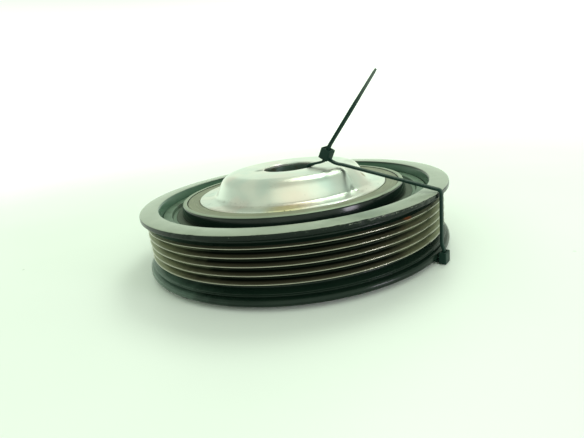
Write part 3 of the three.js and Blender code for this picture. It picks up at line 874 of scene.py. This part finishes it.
TIE_WIDTH = 2.6
FRONT_TIE_WIDTH = 2.1
TIE_THICKNESS = 1.1
TOOTH_PITCH = 1.1
TOOTH_DEPTH = 0.22
HEAD_HALF = 2.55
HEAD_A = np.array((23.9, 16.4))  # the head on the dome: its reach and height
HEAD_TILT = 28 * DEG
HEAD_B = 78.6  # the reach of the strap inside the head by the rear flange
HEAD_B_LOW, HEAD_B_HIGH = -30.3, -25.3
SIDE_REACH = 77.65
UNDERSIDE = -29.65


def in_head(out, up):
    """A point of the upper head, so far along its tilted base and so far up through its slot."""
    along = out * np.array((math.cos(HEAD_TILT), -math.sin(HEAD_TILT)))
    return tuple(HEAD_A + along + up * np.array((math.sin(HEAD_TILT), math.cos(HEAD_TILT))))


# Waypoints of (reach, height, where the rounded corner starts), as in the CAD model.
LOWER_ROUTE = [
    (77.5, UNDERSIDE, 0), (4.7, UNDERSIDE, 3.5), (4.7, 0.6, 2.5), (12.6, 11.1, 1.2),
    (*in_head(0, -4.25), 1.2), (*in_head(0, 4.25), 1.4), (52, 50.6, 0),
]
UPPER_ROUTE = [
    (*in_head(2.2, -2), 0), (28.6, 11.7, 1.5), (32.5, 11.1, 1.5), (SIDE_REACH, 0.9, 1.5),
    (SIDE_REACH, -22, 1), (HEAD_B, -24.8, 1), (HEAD_B, HEAD_B_LOW + 0.2, 0),
]


def strap_line(waypoints, step=0.22):
    """Evenly spaced points along a route with rounded corners."""
    points = [np.array(waypoints[0][:2], float)]
    for before, (x, y, bend), after in zip(waypoints, waypoints[1:], waypoints[2:]):
        corner = np.array((x, y), float)
        start, end = (np.array(other[:2], float) - corner for other in (before, after))
        start = corner + start / np.linalg.norm(start) * bend
        end = corner + end / np.linalg.norm(end) * bend
        for t in np.linspace(0, 1, 9):
            points.append((1 - t) ** 2 * start + 2 * t * (1 - t) * corner + t * t * end)
    points.append(np.array(waypoints[-1][:2], float))
    points = np.array(points)
    along = np.concatenate([[0], np.cumsum(np.linalg.norm(np.diff(points, axis=0), axis=1))])
    even = np.linspace(0, along[-1], int(along[-1] / step) + 1)
    return np.stack([np.interp(even, along, points[:, i]) for i in (0, 1)], 1), even


def make_strap(name, waypoints, width, teeth_from, taper_from=None):
    """A nylon strap with rounded edges and a ladder of teeth sunk into one face.

    teeth_from and taper_from are distances along the strap.
    """
    line, along = strap_line(waypoints)
    ahead = np.gradient(line, axis=0)
    ahead /= np.linalg.norm(ahead, axis=1, keepdims=True)
    normal = np.stack([ahead[:, 1], -ahead[:, 0]], 1)
    taper = np.ones(len(line))
    thin = np.ones(len(line))
    if taper_from is not None:
        share = np.clip((along - taper_from) / (along[-1] - taper_from), 0, 1)
        taper = 1 - 0.45 * share**1.5 - 0.3 * smooth_step(share, 0.93, 1)
        thin = 1 - 0.25 * share
    half_width = width / 2 * taper
    half = TIE_THICKNESS / 2 * thin
    tooth = 0.5 + 0.5 * np.sign(np.sin(along * TURN / TOOTH_PITCH))
    sunk = TOOTH_DEPTH * tooth * smooth_step(along, teeth_from, teeth_from + 1)
    section = [(-1, 0.45, 0), (-0.93, 0.85, 0), (-0.8, 1, 0), (-0.62, 1, 0), (-0.56, 1, 1), (0.56, 1, 1),
               (0.62, 1, 0), (0.8, 1, 0), (0.93, 0.85, 0), (1, 0.45, 0), (1, -0.45, 0), (0.93, -0.85, 0),
               (0.8, -1, 0), (-0.8, -1, 0), (-0.93, -0.85, 0), (-1, -0.45, 0)]
    rings = []
    for across, out, sinks in section:
        place = line + normal * (half * out - sunk * sinks)[:, None]
        rings.append(np.stack([place[:, 0], half_width * across, place[:, 1] + FRONT], 1))
    vertices = np.stack(rings, 1)
    count, width = vertices.shape[:2]
    faces = grid_faces(count, width, closed_rows=False)
    last = (count - 1) * width
    faces += [list(range(width)), [last + i for i in reversed(range(width))]]
    obj = add_mesh(name, vertices.reshape(-1, 3), faces, 50)
    repair = bmesh.new()
    repair.from_mesh(obj.data)
    bmesh.ops.recalc_face_normals(repair, faces=repair.faces)
    repair.to_mesh(obj.data)
    repair.free()
    return obj


def rounded_block(name, low, high, bevel):
    """A box with rounded edges."""
    build = bmesh.new()
    bmesh.ops.create_cube(build, size=1)
    size = Vector(high) - Vector(low)
    middle = (Vector(high) + Vector(low)) / 2
    for vertex in build.verts:
        vertex.co = (Vector(a * b for a, b in zip(vertex.co, size)) + middle) * MM
    bmesh.ops.bevel(build, geom=build.edges, offset=bevel * MM, segments=4, profile=0.6, affect="EDGES")
    mesh = bpy.data.meshes.new(name)
    build.to_mesh(mesh)
    build.free()
    soften(mesh)
    return add_object(name, mesh)


def make_head(inner, outer, low, high, rounding, mouth):
    """A tie's head with its slot, standing over the origin, with a sunk mouth at one end."""
    across, deep = 1.6, 0.85  # half the slot
    head = rounded_block("tie_head", (inner, -HEAD_HALF, low), (outer, HEAD_HALF, high), rounding)
    slot = rounded_block("tie_slot", (-deep, -across, low - 1), (deep, across, high + 1), 0.15)
    tools = [slot]
    if mouth:
        tools.append(rounded_block("tie_mouth", (-2.1, -2.2, high - 0.7), (2.1, 2.2, high + 2), 0.4))
    return combine(head, tools)


def make_lower_tie():
    """From the head by the rear flange, under the pulley, up the bore and on as the free tail."""
    head = make_head(77.1 - HEAD_B, 80.1 - HEAD_B, HEAD_B_LOW + FRONT, HEAD_B_HIGH + FRONT, 0.35, False)
    head.data.transform(Matrix.Translation((HEAD_B * MM, 0, 0)))
    strap = make_strap("lower_tie", LOWER_ROUTE, TIE_WIDTH, 116, 150)
    return moved(combine(strap, [head], "UNION"), 0, TIE_ANGLE)


def make_upper_tie():
    """From the head on the dome, over the front and down the belt face."""
    head = make_head(-HEAD_HALF, HEAD_HALF, -2.7, 2.7, 0.55, True)
    lift = Matrix.Translation((HEAD_A[0] * MM, 0, (HEAD_A[1] + FRONT) * MM))
    head.data.transform(lift @ Matrix.Rotation(HEAD_TILT, 4, "Y"))
    strap = make_strap("upper_tie", UPPER_ROUTE, FRONT_TIE_WIDTH, 60)
    return moved(combine(strap, [head], "UNION"), 0, TIE_ANGLE)


# ---- Pieces on their bodies ------------------------------------------------------------------


def place(obj, material, body, slot, *nodes):
    """Gives a piece its material and its body, and hides the CAD nodes it stands for; slot is not used."""
    obj.data.materials.clear()
    obj.data.materials.append(material)
    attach(obj, body)
    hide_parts(*nodes)


def keep(node, material):
    """Keeps a CAD node, smooths its facets and gives it a material."""
    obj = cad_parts[node]
    obj.data.materials.clear()
    obj.data.materials.append(material)
    soften(obj.data, 50)
    return obj


def make_pieces():
    steel = bearing_steel()
    seal = seal_rubber()
    rotor_finish = rotor_steel()
    coil_finish = coil_steel()
    nylon = tie_nylon()
    plastic = moulded_plastic("moulded_cage", (0.1, 0.06, 0.025), (0.2, 0.13, 0.06))
    place(make_sheave(), pulley_coat(), "pulley", "pulley_coat", "pulley_sheave")
    place(make_rotor(), rotor_finish, "pulley", "rotor_steel", "rotor")
    place(make_lining(), friction_compound(), "pulley", "friction", "friction_lining")
    place(make_bearing_ring("outer_race", 1), steel, "pulley", "bearing_steel", "bearing_outer_ring")
    place(make_bearing_ring("inner_race", -1), steel, "field_coil", "bearing_steel", "bearing_inner_ring")
    place(make_seal("front_seal", 1), seal, "pulley", "seal_rubber", "bearing_seal_front")
    place(make_seal("rear_seal", -1), seal, "pulley", "seal_rubber", "bearing_seal_rear")
    place(make_circlip(), rotor_finish, "pulley", "rotor_steel", "bearing_circlip")
    place(make_coil_housing(), coil_finish, "field_coil", "coil_steel", "coil_housing")
    place(make_bobbin(), plastic, "field_coil", "cage_plastic", "coil_bobbin")
    place(make_winding(), copper_wire(), "field_coil", "copper_wire", "coil_winding")
    place(make_resin(), cast_resin(), "field_coil", "resin", "coil_resin")
    place(make_coil_plate(), coil_finish, "field_coil", "coil_steel", "coil_mounting_plate")
    place(make_grommet(), seal, "field_coil", "seal_rubber", "coil_lead_grommet")
    place(make_dome(), zinc_plate(), "hub", "zinc_plate", "hub_dome")
    place(make_boss(), hub_steel(), "hub", "hub_steel", "hub_boss")
    place(make_damper(), damper_rubber(), "armature", "damper_rubber", "damper_ring")
    place(make_armature(), armature_coat(), "armature", "armature_coat", "armature_plate")
    place(make_lower_tie(), nylon, "field_coil", "tie_nylon", "cable_tie_lower")
    place(make_upper_tie(), nylon, "field_coil", "tie_nylon", "cable_tie_upper")
    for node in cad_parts:
        if node.startswith("bearing_ball"):
            ball = keep(node, steel)
            ball.modifiers.new("round", "SUBSURF").render_levels = 2
        if node.startswith("bearing_cage"):
            keep(node, plastic)


# ---- Floor, light and camera -----------------------------------------------------------------


def make_floor():
    """A pale floor that runs on out of sight, glowing more with distance as painted light."""
    near, far, side = -1.5 / MM, 6 / MM, 5 / MM
    vertices = [(-side, near, 0), (side, near, 0), (side, far, 0), (-side, far, 0)]
    floor = add_mesh("floor", vertices, [(0, 1, 2, 3)])
    s = Shader("pale_floor", Specular_IOR_Level=0.4)
    cloud = s.noise(90, 3, 0.4)
    colour = s.mix(cloud, (0.82, 0.82, 0.81), (0.88, 0.88, 0.87))
    specks = s.both(s.spots(26, 0.01, 0.035), s.band(s.noise(60), 0.45, 0.6))
    colour = s.mix(s.share(specks, 0.6), colour, (0.3, 0.32, 0.26))
    # painted light: the floor glows more with distance, so it fades to white
    s.feed(s.surface.inputs["Emission Color"], (0.9, 1, 0.9, 1))
    s.feed(s.surface.inputs["Emission Strength"], s.band(s.radius, 150, 900, 0, 0.5))
    floor.data.materials.append(s.finish(colour, s.blend(cloud, 0.4, 0.5)))


def add_area_light(name, place, target, size, power, colour):
    light = bpy.data.lights.new(name, "AREA")
    light.shape = "RECTANGLE"
    light.size, light.size_y = size
    light.energy = power
    light.color = colour
    obj = bpy.data.objects.new(name, light)
    bpy.context.scene.collection.objects.link(obj)
    obj.location = place
    obj.rotation_euler = (Vector(target) - Vector(place)).to_track_quat("-Z", "Y").to_euler()


LIGHT_TINT = (0.83, 1.0, 0.8)


def light_scene():
    world = bpy.data.worlds.new("soft_studio")
    bpy.context.scene.world = world
    world.use_nodes = True
    tree = world.node_tree
    back = tree.nodes["Background"]
    ramp = tree.nodes.new("ShaderNodeValToRGB")
    split = tree.nodes.new("ShaderNodeSeparateXYZ")
    place = tree.nodes.new("ShaderNodeTexCoord")
    tree.links.new(place.outputs["Generated"], split.inputs[0])
    tree.links.new(split.outputs[2], ramp.inputs[0])
    tree.links.new(ramp.outputs[0], back.inputs[0])
    brightness = ((0, 1.6), (0.19, 1.45), (0.27, 0.98), (0.5, 0.81), (1, 0.78))
    while len(ramp.color_ramp.elements) < len(brightness):
        ramp.color_ramp.elements.new(0.5)
    for element, (height, level) in zip(ramp.color_ramp.elements, brightness):
        element.position = height
        element.color = (*(level * share for share in LIGHT_TINT), 1)
    add_area_light("overhead", (0.25, 0.42, 0.8), (0, 0, 0), (0.4, 0.34), 2.7, LIGHT_TINT)
    add_area_light("front_fill", (0.3, -1.1, 0.9), (0, 0, 0.02), (2.4, 1.4), 6.6, LIGHT_TINT)
    add_area_light("side_glint", (0.57, -0.45, 0.19), (0, 0, 0.03), (0.17, 0.12), 1.3, (0.93, 0.88, 1))


def add_camera():
    """The photograph's viewpoint: low in front, rolled a little, with a wide lens."""
    camera = bpy.data.cameras.new("camera")
    camera.sensor_width = 36
    camera.lens = 24.32
    camera.clip_start = 0.01
    obj = bpy.data.objects.new("camera", camera)
    bpy.context.scene.collection.objects.link(obj)
    right = Vector((0.99248, -0.02481, -0.11986))
    up = Vector((0.12198, 0.28257, 0.95146))
    back = right.cross(up)
    turn = Matrix((right, up, back)).transposed().to_4x4()
    obj.matrix_world = Matrix.Translation((0, -203.8 * MM, (42 + FRONT) * MM)) @ turn
    bpy.context.scene.camera = obj


add_camera()
bpy.context.scene.view_settings.view_transform = "Standard"
make_pieces()
make_floor()
light_scene()
